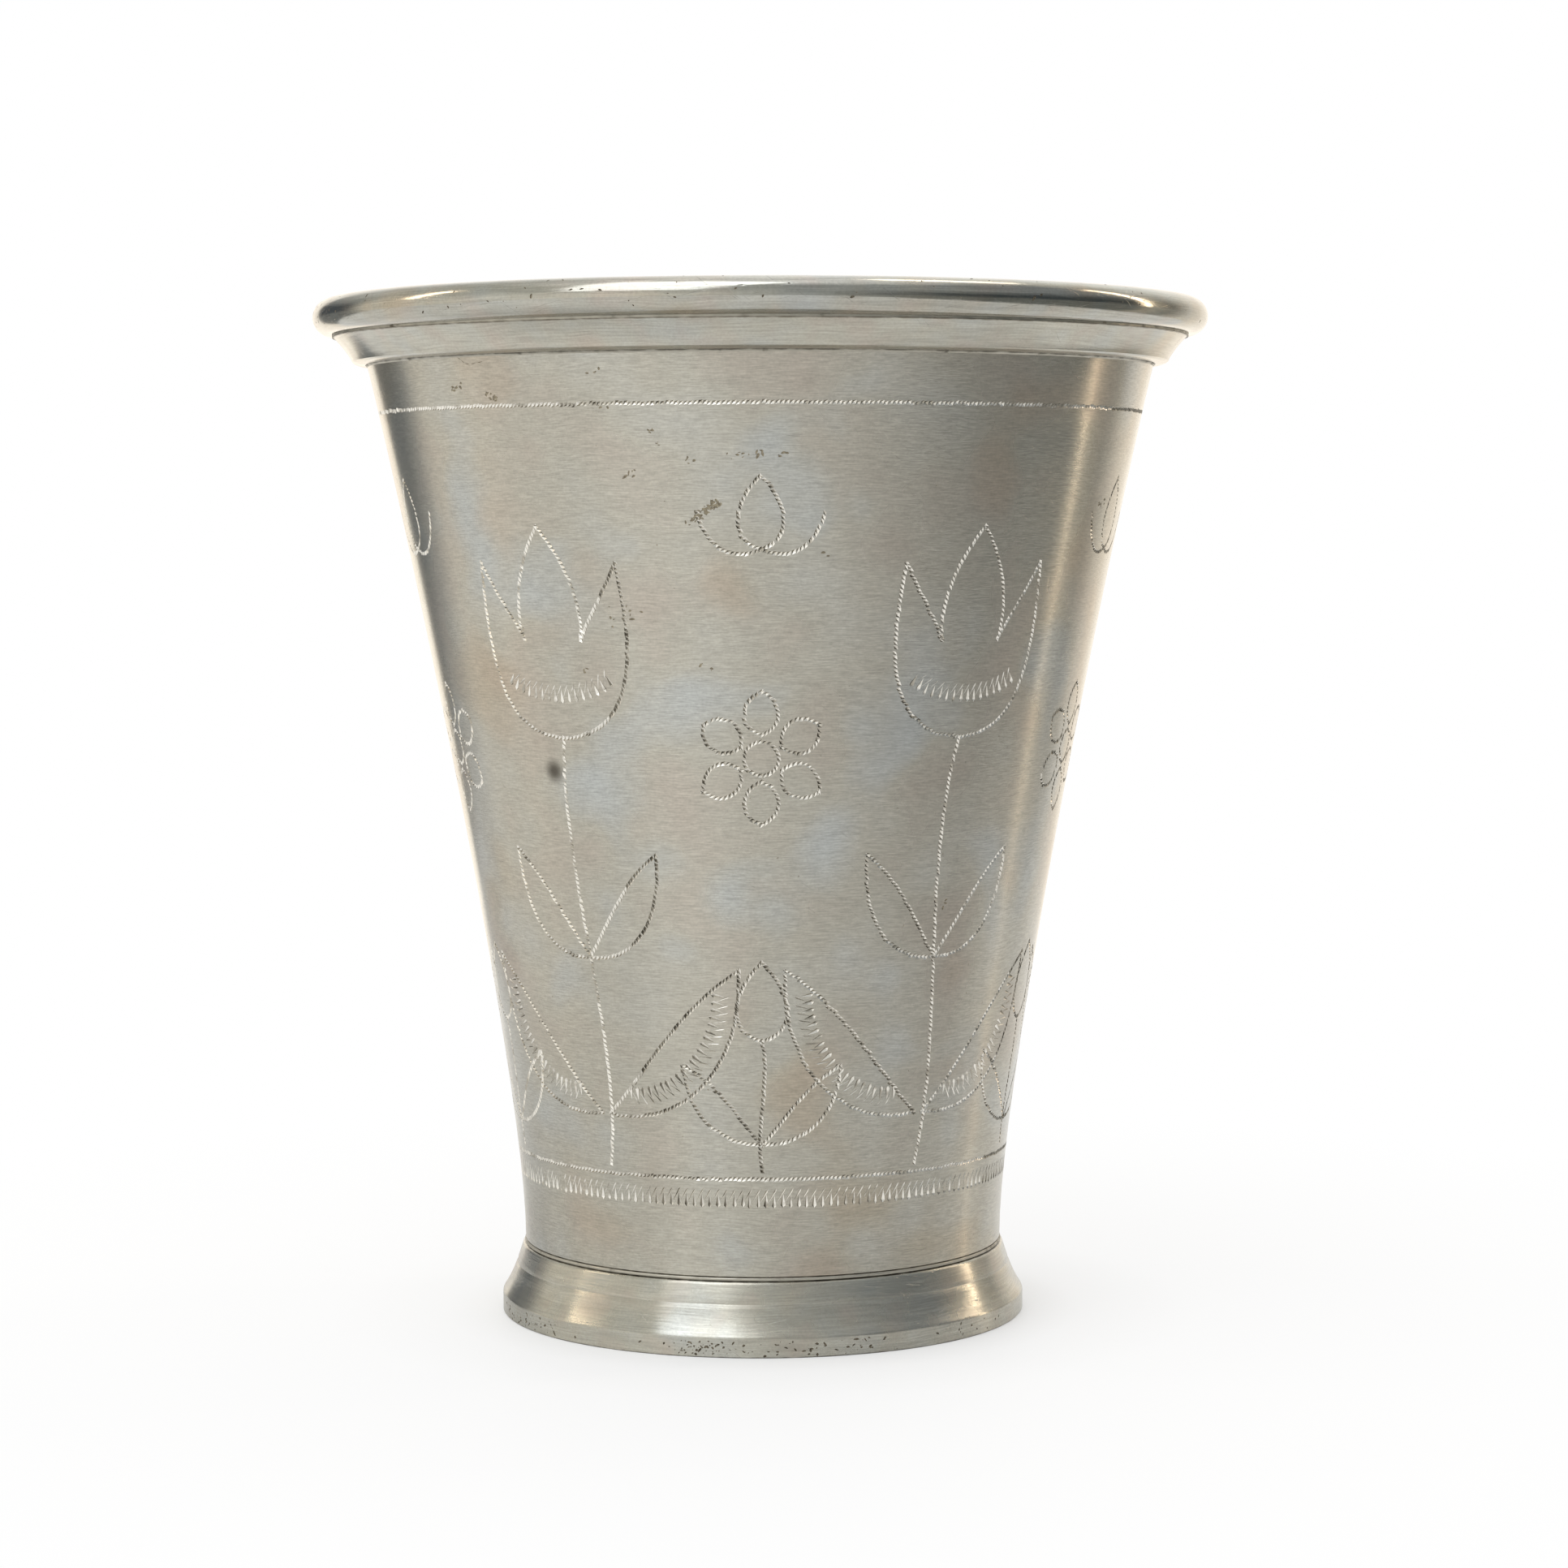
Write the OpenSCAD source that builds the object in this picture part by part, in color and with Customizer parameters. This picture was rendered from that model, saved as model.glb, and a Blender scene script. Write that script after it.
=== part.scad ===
// Pewter beaker: a flared wall on a spreading foot, with a coved rim band and a round lip.
// Each ring is cast, turned on a lathe and soldered to the next one.
// +Z is up, and the origin is the centre of the face that it stands on.

/* [Overall] */
// Height from the table to the top of the lip
beaker_h = 120; // [100:1:150]

/* [Wall] */
// Outer radius of the wall just above the foot
waist_r = 28.45; // [24:0.05:34]
// Outer radius of the wall just under the rim band
mouth_r = 46.45; // [40:0.05:54]
// Thickness of the wall, measured level
wall_t = 1.6; // [1.2:0.1:2.4]
// Pull of the curve that starts the wall upright above the foot
waist_pull = 20; // [10:1:28]
// Pull of the curve that ends the wall at its mouth
mouth_pull = 14; // [10:1:28]
// Lean of the wall at its mouth, in degrees from upright
mouth_lean = 14; // [8:0.5:18]

/* [Foot] */
// Height of the foot ring, up to its solder seam
foot_h = 8.2; // [6.5:0.1:12]
// How far the foot spreads past the wall
foot_out = 2.75; // [2:0.05:6]
// Height of the upright band round the base
base_h = 2.1; // [1.5:0.1:3]
// Radius of the round from the base band to the flare
base_round = 0.6; // [0.3:0.05:1]
// Slope of the flare where it leaves the base band, in degrees from upright
flare_low = 34; // [26:1:42]
// Slope of the flare where it reaches the shoulder, in degrees from upright
flare_top = 18; // [8:1:24]
// Radius of the round shoulder at the top of the foot
shoulder_r = 0.5; // [0.3:0.05:0.8]
// Width of the face that it stands on
rest_w = 2.6; // [1.5:0.1:3.5]
// Depth of the socket that takes the lower end of the wall
foot_lap = 2; // [1:0.1:3]
// Width of the ledge under the floor disc
ledge_w = 2.5; // [1.5:0.1:5]
// Thickness of that ledge
ledge_t = 1.6; // [1:0.1:2.4]

/* [Floor] */
// Thickness of the floor disc
floor_t = 2; // [1.2:0.1:3]

/* [Rim] */
// Height of the rim, from the lower edge of its band to the top of the lip
rim_h = 7.55; // [6.5:0.05:10]
// How far the band stands out past the wall at its lower edge
band_out = 1.85; // [1.2:0.05:2.5]
// Rise of the underside of the band, from the wall out to its lower edge
under_h = 0.55; // [0.3:0.05:0.9]
// Radius of the cove above that edge
cove_r = 12; // [6:0.5:20]
// Radius of the round lip
lip_r = 2.05; // [1.5:0.05:2.4]
// How far the lip stands out past the wall
lip_out = 6.3; // [5:0.1:9]
// Angle of the line where the inside of the rim meets the lip, in degrees
lip_meet = 200; // [190:1:215]
// Lean of the inside of the rim along that line, in degrees from upright
flare_lean = 45; // [30:1:55]
// Depth of the socket that takes the upper end of the wall
rim_lap = 1.6; // [1:0.1:2.2]

/* [Solder] */
// Gap that each turned fit leaves for the solder
solder_gap = 0.08; // [0.04:0.01:0.15]
// Height of the seam between the foot and the wall
seam_h = 0.45; // [0.3:0.05:0.8]
// How far that seam swells out
seam_crown = 0.1; // [0.05:0.01:0.2]
// Leg of the solder fillet in the corner under the rim band
rim_seam_leg = 0.25; // [0.2:0.05:0.6]
// Height of the solder between the rim band and the bottom of the lip
lip_seam_h = 0.25; // [0.2:0.05:0.6]
// Width of that solder
lip_seam_w = 0.8; // [0.5:0.05:1]
// How far it stays in from the middle of the lip
lip_seam_in = 0.2; // [0.1:0.05:0.6]
// Step from that solder in to the top of the cove
lip_seam_step = 0.2; // [0.1:0.05:0.3]
// Radius of the solder fillet round the floor disc
floor_seam_r = 1; // [0.6:0.1:1.5]

/* [Finish] */
// Width of the bevel that the lathe leaves on an edge
edge_break = 0.12; // [0.05:0.01:0.2]

/* [Hidden] */

// Fineness of the turned rings, and points along a curve
$fn = 180;
wall_steps = 24;
arc_steps = 8;

// Heights of the joints, from the table up
spigot_z = foot_h - foot_lap;
floor_top = spigot_z + floor_t;
wall_z = foot_h + seam_h;
rim_z = beaker_h - rim_h;
wall_top = rim_z + rim_lap;

// Radii of the joints
spigot_r = waist_r - wall_t / 2;
bore_r = waist_r - wall_t;
foot_r = waist_r + foot_out;
band_r = mouth_r + band_out;
top_r = mouth_r + rim_lap * tan(mouth_lean);

// Rise of the underside of the rim band for each millimetre outwards
under_slope = under_h / (band_out - solder_gap);

// Middle of the lip's round section, and the shelf that carries its solder
lip_c = [mouth_r + lip_out - lip_r, beaker_h - lip_r];
shelf_z = lip_c.y - lip_r - lip_seam_h;
seam_out_r = lip_c.x - lip_seam_in;
seam_in_r = seam_out_r - lip_seam_w;

// Points along a curve from a to d, pulled towards b and c
function curve(a, b, c, d, n) = [
    for (i = [0:n])
        let (t = i / n, s = 1 - t)
            s * s * s * a + 3 * s * s * t * b + 3 * s * t * t * c + t * t * t * d
];

// Points along an arc about c
function arc(c, r, from, to, n) = [
    for (i = [0:n])
        let (w = from + (to - from) * i / n)
            c + r * [cos(w), sin(w)]
];

// Middle of the arc of radius r from a to b, on the right of the way from a to b
function arc_middle(a, b, r) =
    let (way = b - a, half = norm(way) / 2)
        (a + b) / 2 + [way.y, -way.x] / (2 * half) * sqrt(r * r - half * half);

function angle_of(p, c) = atan2(p.y - c.y, p.x - c.x);

// Arc of radius r from a to b that hollows towards its left
function hollow(a, b, r, n) =
    let (c = arc_middle(a, b, r))
        arc(c, r, angle_of(a, c), angle_of(b, c), n);

// Angle on the underside of the lip at radius r from the axis
function under_lip(r) = -acos((r - lip_c.x) / lip_r);

// Outer line of the wall, from the foot's seam to the rim band
wall_line = curve(
    [waist_r, wall_z],
    [waist_r, wall_z + waist_pull],
    [mouth_r, rim_z] - mouth_pull * [sin(mouth_lean), cos(mouth_lean)],
    [mouth_r, rim_z],
    wall_steps
);

// Turns a half section about the upright axis
module turned() {
    rotate_extrude() children();
}

// The flared wall, with a spigot below and a plain end inside the rim
module wall_section() {
    inner_line = [for (i = [wall_steps:-1:0]) wall_line[i] - [wall_t, 0]];
    polygon(concat(
        [[spigot_r, spigot_z], [spigot_r, wall_z]],
        [[waist_r - edge_break, wall_z], [waist_r, wall_z + edge_break]],
        [for (i = [1:wall_steps]) wall_line[i]],
        [[top_r, wall_top], [top_r - wall_t, wall_top]],
        inner_line,
        [[bore_r, spigot_z]]
    ));
}

// The spreading foot, open below: a hollow flare to a round shoulder, with a socket and a ledge
module foot_section() {
    round_c = [foot_r - base_round, base_h];
    shoulder_c = [waist_r - edge_break, foot_h - shoulder_r];
    low = round_c + base_round * [cos(flare_low), sin(flare_low)];
    high = shoulder_c + shoulder_r * [cos(flare_top), sin(flare_top)];
    run = norm(high - low) / 3;
    flare_line = curve(
        low,
        low + run * [-sin(flare_low), cos(flare_low)],
        high - run * [-sin(flare_top), cos(flare_top)],
        high,
        2 * arc_steps
    );
    polygon(concat(
        [[foot_r - rest_w, 0], [foot_r - edge_break, 0], [foot_r, edge_break]],
        arc(round_c, base_round, 0, flare_low, arc_steps),
        [for (i = [1:2 * arc_steps - 1]) flare_line[i]],
        arc(shoulder_c, shoulder_r, flare_top, 90, arc_steps),
        [[spigot_r + solder_gap, foot_h], [spigot_r + solder_gap, spigot_z]],
        [[bore_r - ledge_w, spigot_z], [bore_r - ledge_w, spigot_z - ledge_t]],
        [[bore_r, spigot_z - ledge_t]]
    ));
}

// The floor disc, inside the bore of the wall
module floor_section() {
    translate([0, spigot_z]) square([bore_r - solder_gap, floor_t]);
}

// The round lip
module lip_section() {
    translate(lip_c) circle(lip_r);
}

// The rim band: a skirt round the wall, a cove outside, a flare inside and a seat for the lip
module band_section() {
    cove_from = [band_r, rim_z + under_h + edge_break];
    cove_to = [seam_out_r - lip_seam_step, shelf_z];
    mouth_in = [top_r - wall_t, wall_top];
    lip_in = lip_c + lip_r * [cos(lip_meet), sin(lip_meet)];
    run = norm(lip_in - mouth_in) / 3;
    flare_line = curve(
        lip_in,
        lip_in - run * [sin(flare_lean), cos(flare_lean)],
        mouth_in + run * [sin(mouth_lean), cos(mouth_lean)],
        mouth_in,
        arc_steps
    );
    difference() {
        polygon(concat(
            [[mouth_r + solder_gap, rim_z]],
            [[band_r - edge_break, rim_z + under_h - edge_break * under_slope]],
            hollow(cove_from, cove_to, cove_r, arc_steps),
            [[seam_in_r, shelf_z], [seam_in_r, lip_c.y], lip_c],
            flare_line,
            [[top_r + solder_gap, wall_top]]
        ));
        lip_section();
    }
}

// Solder between the top of the foot and the shoulder of the wall
module foot_seam_section() {
    low = [waist_r - edge_break, foot_h];
    high = [waist_r - edge_break, wall_z];
    crown = edge_break + seam_crown;
    bulge_r = (seam_h * seam_h / 4 + crown * crown) / (2 * crown);
    bulge_c = low + [crown - bulge_r, seam_h / 2];
    polygon(concat(
        [[spigot_r + solder_gap, foot_h]],
        arc(bulge_c, bulge_r, angle_of(low, bulge_c), angle_of(high, bulge_c), arc_steps),
        [[spigot_r, wall_z], [spigot_r, foot_h]]
    ));
}

// Solder fillet in the corner of the floor disc and the wall
module floor_seam_section() {
    difference() {
        translate([bore_r - floor_seam_r, floor_top]) square([floor_seam_r + wall_t / 2, floor_seam_r]);
        translate([bore_r - floor_seam_r, floor_top + floor_seam_r]) circle(floor_seam_r);
        wall_section();
    }
}

// Solder fillet in the corner under the rim band
module rim_seam_section() {
    run = wall_line[wall_steps] - wall_line[wall_steps - 1];
    polygon([
        [mouth_r, rim_z],
        [mouth_r, rim_z] - run * rim_seam_leg / run.y,
        [mouth_r + rim_seam_leg, rim_z + (rim_seam_leg - solder_gap) * under_slope],
        [mouth_r + solder_gap, rim_z]
    ]);
}

// Solder between the shelf of the rim band and the underside of the lip
module lip_seam_section() {
    polygon(concat(
        [[seam_in_r, shelf_z], [seam_out_r, shelf_z]],
        arc(lip_c, lip_r, under_lip(seam_out_r), under_lip(seam_in_r), arc_steps)
    ));
}

module body_wall() {
    color("#a5a297") turned() wall_section();
}

module floor_disc() {
    color("#9c998f") turned() floor_section();
}

module foot_ring() {
    color("#a9a69b") turned() foot_section();
}

module rim_band() {
    color("#aaa79b") turned() band_section();
}

module lip_bead() {
    color("#a19e94") turned() lip_section();
}

module foot_solder() {
    color("#8d8a80") turned() foot_seam_section();
}

module floor_solder() {
    color("#8d8a80") turned() floor_seam_section();
}

module rim_solder() {
    color("#858278") turned() rim_seam_section();
}

module lip_solder() {
    color("#858278") turned() lip_seam_section();
}

body_wall();
floor_disc();
foot_ring();
rim_band();
lip_bead();
foot_solder();
floor_solder();
rim_solder();
lip_solder();
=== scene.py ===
import math
import random

import bpy
import numpy as np
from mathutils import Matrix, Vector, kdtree


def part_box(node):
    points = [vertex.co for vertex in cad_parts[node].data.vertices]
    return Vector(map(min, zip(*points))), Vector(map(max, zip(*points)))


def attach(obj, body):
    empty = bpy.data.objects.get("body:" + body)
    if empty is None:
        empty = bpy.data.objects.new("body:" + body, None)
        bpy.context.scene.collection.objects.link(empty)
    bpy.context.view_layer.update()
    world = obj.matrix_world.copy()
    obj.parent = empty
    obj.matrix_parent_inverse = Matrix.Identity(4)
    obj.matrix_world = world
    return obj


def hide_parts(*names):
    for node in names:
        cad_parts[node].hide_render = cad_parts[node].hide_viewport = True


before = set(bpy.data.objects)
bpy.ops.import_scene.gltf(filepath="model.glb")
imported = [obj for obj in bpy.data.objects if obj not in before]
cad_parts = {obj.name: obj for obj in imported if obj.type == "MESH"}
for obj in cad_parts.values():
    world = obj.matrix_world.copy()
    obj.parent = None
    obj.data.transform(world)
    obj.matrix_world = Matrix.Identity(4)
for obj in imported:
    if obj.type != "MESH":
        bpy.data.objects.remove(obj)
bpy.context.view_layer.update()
mm = 0.001               # the scene is in metres, sizes below are in millimetres
mergeGap = 0.0005 * mm   # points that lie closer than this are one point
flatAngle = 0.05         # bends in a CAD section that are smaller than this are straightened, in degrees
crispAngle = 15          # edges that bend more than this stay crisp, in degrees
print("frame loaded:", len(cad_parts), "nodes")


# Small helpers for selecting and shaping

def pickOnly(piece):
    bpy.ops.object.select_all(action="DESELECT")
    piece.select_set(True)
    bpy.context.view_layer.objects.active = piece


def selectVerts(piece, wanted):
    # leaves edit mode to set the selection, then goes back in
    bpy.ops.object.mode_set(mode="EDIT")
    bpy.ops.mesh.select_mode(type="VERT")
    bpy.ops.mesh.select_all(action="DESELECT")
    bpy.ops.object.mode_set(mode="OBJECT")
    for vert in piece.data.vertices:
        vert.select = bool(wanted(vert.co))
    bpy.ops.object.mode_set(mode="EDIT")


def closeUp():
    # merges doubles and turns the faces outwards, in edit mode
    bpy.ops.mesh.select_all(action="SELECT")
    bpy.ops.mesh.remove_doubles(threshold=mergeGap)
    bpy.ops.mesh.normals_make_consistent(inside=False)


def halfSection(node, name):
    # cuts a merged copy of a turned CAD node and keeps the half section on the +X side
    piece = bpy.data.objects.new(name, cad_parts[node].data.copy())
    piece.data.materials.clear()
    bpy.context.scene.collection.objects.link(piece)
    pickOnly(piece)
    bpy.ops.object.mode_set(mode="EDIT")
    bpy.ops.mesh.select_all(action="SELECT")
    bpy.ops.mesh.remove_doubles(threshold=mergeGap)
    bpy.ops.mesh.bisect(plane_co=(0, 0, 0), plane_no=(0, 1, 0), clear_inner=True, clear_outer=True)
    selectVerts(piece, lambda co: co.x < 0)
    bpy.ops.mesh.delete(type="VERT")
    bpy.ops.mesh.select_all(action="SELECT")
    bpy.ops.mesh.dissolve_limited(angle_limit=math.radians(flatAngle))
    bpy.ops.object.mode_set(mode="OBJECT")
    return piece


def spinRound(piece, steps):
    # turns the section about the upright axis, as on the lathe
    pickOnly(piece)
    bpy.ops.object.mode_set(mode="EDIT")
    bpy.ops.mesh.select_all(action="SELECT")
    bpy.ops.mesh.spin(
        steps=steps, angle=2 * math.pi, center=(0, 0, 0), axis=(0, 0, 1), use_auto_merge=True)
    closeUp()
    bpy.ops.object.mode_set(mode="OBJECT")


def useModifier(piece, kind, **settings):
    pickOnly(piece)
    step = piece.modifiers.new(kind.lower(), kind)
    for key, value in settings.items():
        setattr(step, key, value)
    bpy.ops.object.modifier_apply(modifier=step.name)


def unevenHand(piece, size, height):
    # slow dents of a hand-held tool, far shallower than the wall
    clouds = bpy.data.textures.new(piece.name + "Dents", "CLOUDS")
    clouds.noise_scale = size * mm
    useModifier(piece, "DISPLACE", texture=clouds, texture_coords="LOCAL",
                strength=height * mm, mid_level=0.5)


def finishPiece(piece, node):
    # smooth all over, with the sharp edges kept crisp
    pickOnly(piece)
    bpy.ops.object.shade_smooth()
    bpy.ops.object.mode_set(mode="EDIT")
    bpy.ops.mesh.select_mode(type="EDGE")
    bpy.ops.mesh.select_all(action="DESELECT")
    bpy.ops.mesh.edges_select_sharp(sharpness=math.radians(crispAngle))
    bpy.ops.mesh.mark_sharp()
    bpy.ops.object.mode_set(mode="OBJECT")
    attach(piece, "root")
    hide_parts(node)
    print("made", piece.name, len(piece.data.polygons), "faces")


# Materials

def toLinear(hexColour):
    parts = [int(hexColour[i:i + 2], 16) / 255 for i in (1, 3, 5)]
    linear = [c / 12.92 if c <= 0.04045 else ((c + 0.055) / 1.055) ** 2.4 for c in parts]
    return (*linear, 1.0)


def addNode(tree, kind, inputs=None, **settings):
    node = tree.nodes.new("ShaderNode" + kind)
    for key, value in settings.items():
        setattr(node, key, value)
    for key, value in (inputs or {}).items():
        if isinstance(value, bpy.types.NodeSocket):
            tree.links.new(value, node.inputs[key])
        else:
            node.inputs[key].default_value = value
    return node


def setRamp(node, stops):
    # stops are (place, colour) pairs, set in rising order
    elements = node.color_ramp.elements
    while len(elements) < len(stops):
        elements.new(0.5)
    for element, (place, colour) in zip(elements, sorted(stops)):
        element.position = place
        element.color = colour
    return node.outputs["Color"]


def newMaterial(name):
    material = bpy.data.materials.new(name)
    material.use_nodes = True
    material.node_tree.nodes.clear()
    return material


def stretched(tree, where, along, across, turn=0.0, seed=0.0):
    # noise drawn out into lines: along and across are the length and spacing of the lines
    lined = addNode(tree, "Mapping", {
        "Vector": where, "Location": (seed * mm, 0, 0), "Rotation": (0, turn, 0),
        "Scale": (along * mm, along * mm, across * mm)}, vector_type="TEXTURE")
    return addNode(tree, "TexNoise", {"Vector": lined.outputs[0], "Scale": 1, "Detail": 2, "Roughness": 0.55})


# breaks: their size in mm; thin and full: the noise where a line starts and is full; share: how much it hides
grimeSet = {"breaks": 1.4, "thin": 0.2, "full": 0.5, "share": 0.85}


def grimeLines(tree, where, colour, look):
    # grime gathers along the joints in ragged lines: height and reach of each line in look["grimeAt"]
    axes = addNode(tree, "SeparateXYZ", {0: where})
    ragged = addNode(tree, "TexNoise", {"Vector": where, "Scale": 1 / (grimeSet["breaks"] * mm), "Detail": 3})
    for height, reach in look["grimeAt"]:
        gap = addNode(tree, "Math", {0: axes.outputs["Z"], 1: height * mm}, operation="SUBTRACT")
        gap = addNode(tree, "Math", {0: gap.outputs[0]}, operation="ABSOLUTE")
        near = addNode(tree, "MapRange", {"Value": gap.outputs[0], 1: 0.0, 2: reach * mm, 3: 1.0, 4: 0.0})
        near = addNode(tree, "Math", {0: near.outputs[0], 1: ragged.outputs["Fac"]}, operation="MULTIPLY")
        near = addNode(tree, "MapRange", {
            "Value": near.outputs[0], 1: grimeSet["thin"], 2: grimeSet["full"], 4: grimeSet["share"]})
        colour = addNode(tree, "Mix", {0: near.outputs[0], 6: colour, 7: toLinear(look["grime"])},
                         data_type="RGBA").outputs[2]
    return colour


def turnedPewter(name, look):
    # Cast pewter skimmed on a lathe: warm grey, with fine level tool lines that smear a reflection
    # up and down, hairline scratches from use, and a thin patina in cool, warm and rosy patches.
    # The tool lines are drawn about twice as coarse as real ones, so that they show.
    material = newMaterial(name)
    tree = material.node_tree
    where = addNode(tree, "TexCoord").outputs["Object"]
    axes = addNode(tree, "SeparateXYZ", {0: where})

    # lines wander a little instead of running dead level
    drift = addNode(tree, "TexNoise", {"Vector": where, "Scale": 1 / (look["driftRun"] * mm), "Detail": 1})
    offset = addNode(tree, "VectorMath", {0: drift.outputs["Color"], 1: (0, 0, look["drift"] * mm)},
                     operation="MULTIPLY")
    lathed = where
    if look.get("faced"):  # a disc turned on its face has rings instead of level lines
        spread = addNode(tree, "VectorMath", {0: where, 1: (1, 1, 0)}, operation="MULTIPLY")
        radial = addNode(tree, "VectorMath", {0: spread.outputs[0]}, operation="LENGTH")
        lathed = addNode(tree, "CombineXYZ", {
            "X": axes.outputs["X"], "Y": axes.outputs["Y"], "Z": radial.outputs["Value"]}).outputs[0]
    wavy = addNode(tree, "VectorMath", {0: lathed, 1: offset.outputs[0]}, operation="ADD")
    fine = stretched(tree, wavy.outputs[0], look["lineRun"], look["lineStep"])
    longer, wider, seed = look["broadLines"]
    broad = stretched(tree, wavy.outputs[0], look["lineRun"] * longer, look["lineStep"] * wider, seed=seed)
    grain = addNode(tree, "TexNoise", {"Vector": where, "Scale": 1 / (look["grainSize"] * mm), "Detail": 1})

    # hairlines on the unrolled wall: turn times radius along x, height along z, seam at the back
    away = addNode(tree, "Math", {0: axes.outputs["Y"], 1: -1.0}, operation="MULTIPLY")
    turn = addNode(tree, "Math", {0: axes.outputs["X"], 1: away.outputs[0]}, operation="ARCTAN2")
    arc = addNode(tree, "Math", {0: turn.outputs[0], 1: look["radius"] * mm}, operation="MULTIPLY")
    flat = addNode(tree, "CombineXYZ", {"X": arc.outputs[0], "Z": axes.outputs["Z"]})
    hair = []
    for tilt, seed in look["hairTilts"]:
        strands = stretched(tree, flat.outputs[0], look["hairRun"], look["hairStep"], tilt, seed)
        full = look["hairFrom"] + look["hairFade"]
        hair.append(addNode(tree, "MapRange", {
            "Value": strands.outputs["Fac"], 1: look["hairFrom"], 2: full}).outputs[0])
    hairlines = addNode(tree, "Math", {0: hair[0], 1: hair[1]}, operation="MAXIMUM")
    hairlines = addNode(tree, "Math", {0: hairlines.outputs[0], 1: hair[2]}, operation="MAXIMUM").outputs[0]

    # patina: slow patches from cool to warm, with smaller rosy and pale ones
    patch = addNode(tree, "TexNoise", {"Vector": where, "Scale": 1 / (look["patchSize"] * mm), "Detail": 2})
    tint = setRamp(addNode(tree, "ValToRGB", {"Fac": patch.outputs["Fac"]}), (
        (0.3, toLinear(look["coolGrey"])), (0.42, toLinear(look["grey"])),
        (0.58, toLinear(look["grey"])), (0.72, toLinear(look["warmGrey"]))))
    blush = addNode(tree, "TexNoise", {"Vector": where, "Scale": 1 / (look["blushSize"] * mm), "Detail": 1.5})
    for grey, (start, full, most) in (("rosyGrey", look["rosyPatch"]), ("bloomGrey", look["bloomPatch"])):
        part = addNode(tree, "MapRange", {"Value": blush.outputs["Fac"], 1: start, 2: full, 3: 0.0, 4: most})
        tint = addNode(tree, "Mix", {0: part.outputs[0], 6: tint, 7: toLinear(look[grey])},
                       data_type="RGBA").outputs[2]

    # the lines and hairlines also hold a trace of tarnish
    shade = addNode(tree, "MapRange", {"Value": hairlines, 3: 1.0, 4: 1 - look["hairTone"]})
    lineTone = look["lineTone"]
    for noise, tone in ((fine, lineTone), (broad, lineTone * look["broadTone"]), (grain, look["grainTone"])):
        dim = addNode(tree, "MapRange", {
            "Value": noise.outputs["Fac"], 1: 0.3, 2: 0.7, 3: 1 - tone, 4: 1 + tone})
        shade = addNode(tree, "Math", {0: shade.outputs[0], 1: dim.outputs[0]}, operation="MULTIPLY")
    colour = addNode(tree, "VectorMath", {0: tint, "Scale": shade.outputs[0]}, operation="SCALE")
    colour = grimeLines(tree, where, colour.outputs[0], look)

    # one soft round tarnish stain
    if "stainAt" in look:
        middle = [v * mm for v in look["stainAt"]]
        spot = addNode(tree, "VectorMath", {0: where, 1: middle}, operation="DISTANCE")
        core, edge = look["stainSize"]
        stain = addNode(tree, "MapRange", {
            "Value": spot.outputs["Value"], 1: core * mm, 2: edge * mm, 3: look["stainShare"], 4: 0.0},
            interpolation_type="SMOOTHSTEP")
        colour = addNode(tree, "Mix", {0: stain.outputs[0], 6: colour, 7: toLinear(look["grime"])},
                         data_type="RGBA").outputs[2]

    # relief of the lines, with the hairlines cut into it
    relief = addNode(tree, "Math", {0: broad.outputs["Fac"], 1: look["broadDeep"], 2: fine.outputs["Fac"]},
                     operation="MULTIPLY_ADD")
    relief = addNode(tree, "Math", {0: hairlines, 1: -look["hairDeep"], 2: relief.outputs[0]},
                     operation="MULTIPLY_ADD")
    bump = addNode(tree, "Bump", {"Height": relief.outputs[0], "Distance": look["lineDepth"] * mm})
    rough = addNode(tree, "MapRange", {
        "Value": blush.outputs["Fac"], 1: 0.3, 2: 0.7,
        3: look["roughness"] - look["roughSpread"], 4: look["roughness"] + look["roughSpread"]})
    lathe = addNode(tree, "Tangent", direction_type="RADIAL", axis="Z")
    metal = addNode(tree, "BsdfPrincipled", {
        "Base Color": colour, "Metallic": 1.0, "Roughness": rough.outputs[0],
        "Anisotropic": look["anisotropic"], "Anisotropic Rotation": 0.25,
        "Normal": bump.outputs[0], "Tangent": lathe.outputs[0]})
    addNode(tree, "OutputMaterial", {"Surface": metal.outputs[0]})
    return material


def softSolder(name, look):
    # Soft solder run into a joint and never dressed: dull grey, lumpy, dark with old polish
    material = newMaterial(name)
    tree = material.node_tree
    where = addNode(tree, "TexCoord").outputs["Object"]
    lumps = addNode(tree, "TexNoise", {"Vector": where, "Scale": 1 / (look["lumpSize"] * mm), "Detail": 3})
    filled, clean = look["grimeRange"]
    tint = setRamp(addNode(tree, "ValToRGB", {"Fac": lumps.outputs["Fac"]}), (
        (filled, toLinear(look["grime"])), (clean, toLinear(look["grey"]))))
    tint = grimeLines(tree, where, tint, look)
    bump = addNode(tree, "Bump", {"Height": lumps.outputs["Fac"], "Distance": look["lumpDepth"] * mm})
    dull, bright = look["roughness"]
    rough = addNode(tree, "MapRange", {"Value": lumps.outputs["Fac"], 1: 0.35, 2: 0.65, 3: dull, 4: bright})
    metal = addNode(tree, "BsdfPrincipled", {
        "Base Color": tint, "Metallic": 0.9, "Roughness": rough.outputs[0], "Normal": bump.outputs[0]})
    addNode(tree, "OutputMaterial", {"Surface": metal.outputs[0]})
    return material


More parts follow.
